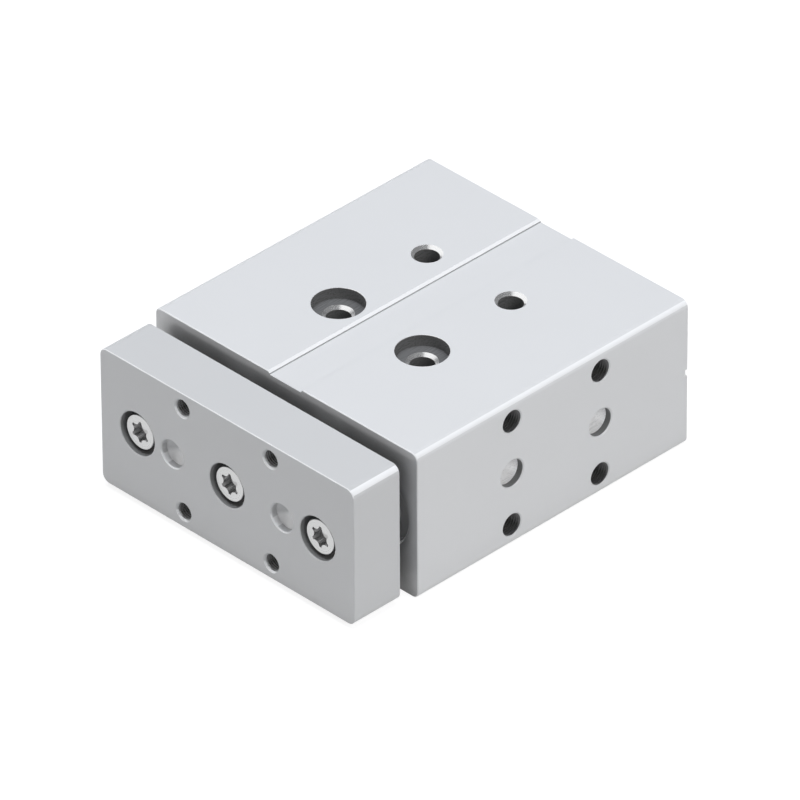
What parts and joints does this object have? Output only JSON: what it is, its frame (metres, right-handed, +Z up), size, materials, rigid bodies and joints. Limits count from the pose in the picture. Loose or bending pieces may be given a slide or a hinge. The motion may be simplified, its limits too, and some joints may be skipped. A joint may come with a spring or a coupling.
{
  "type": "guided pneumatic cylinder",
  "caption": "Compact guided pneumatic cylinder: a rectangular aluminium housing with a piston between guide rods that carry a tapped yoke plate in and out.",
  "frame": {"origin": "under the middle of the whole part, in the plane that the housing stands on", "axes": "+Z up, +Y from the yoke plate to the rear along the rods, +X towards the side with the tapped holes"},
  "size_m": [0.0594, 0.0744, 0.0278],
  "materials": {
    "anodised_aluminium": "satin, clear anodised",
    "turned_aluminium": "fine turned",
    "ground_steel": "hardened and ground",
    "chromed_steel": "hard chromed",
    "screw_steel": "zinc plated, satin",
    "spring_steel": "phosphated, dark satin",
    "bronze": "sintered, dull",
    "nitrile": "matt",
    "ferrite": "dark, matt",
    "bearing_plastic": "matt"
  },
  "bodies": {
    "housing": {"housing": "anodised_aluminium", "bearing_cap": "turned_aluminium", "end_cap": "turned_aluminium", "bearing_cap_retaining_ring": "spring_steel", "end_cap_retaining_ring": "spring_steel", "bearing_cap_o_ring": "nitrile", "end_cap_o_ring": "nitrile", "rod_bush": "bronze", "rod_seal": "nitrile", "guide_bush_front_left": "bronze", "guide_bush_front_right": "bronze", "guide_bush_rear_left": "bronze", "guide_bush_rear_right": "bronze", "guide_wiper_left": "nitrile", "guide_wiper_right": "nitrile"},
    "yoke": {"yoke_plate": "anodised_aluminium", "piston_rod": "chromed_steel", "rod_screw": "screw_steel", "guide_rod_left": "ground_steel", "guide_rod_right": "ground_steel", "guide_screw_left": "screw_steel", "guide_screw_right": "screw_steel", "piston_front": "turned_aluminium", "piston_rear": "turned_aluminium", "piston_magnet": "ferrite", "piston_seal_front": "nitrile", "piston_seal_rear": "nitrile", "piston_guide_ring": "bearing_plastic", "piston_bumper_front": "nitrile", "piston_bumper_rear": "nitrile", "piston_nut": "screw_steel"}
  },
  "joints": [
    {"name": "yoke_slide", "type": "slide", "parent": "housing", "child": "yoke", "axis": [0, -1, 0], "range_m": [0, 0.02]}
  ]
}
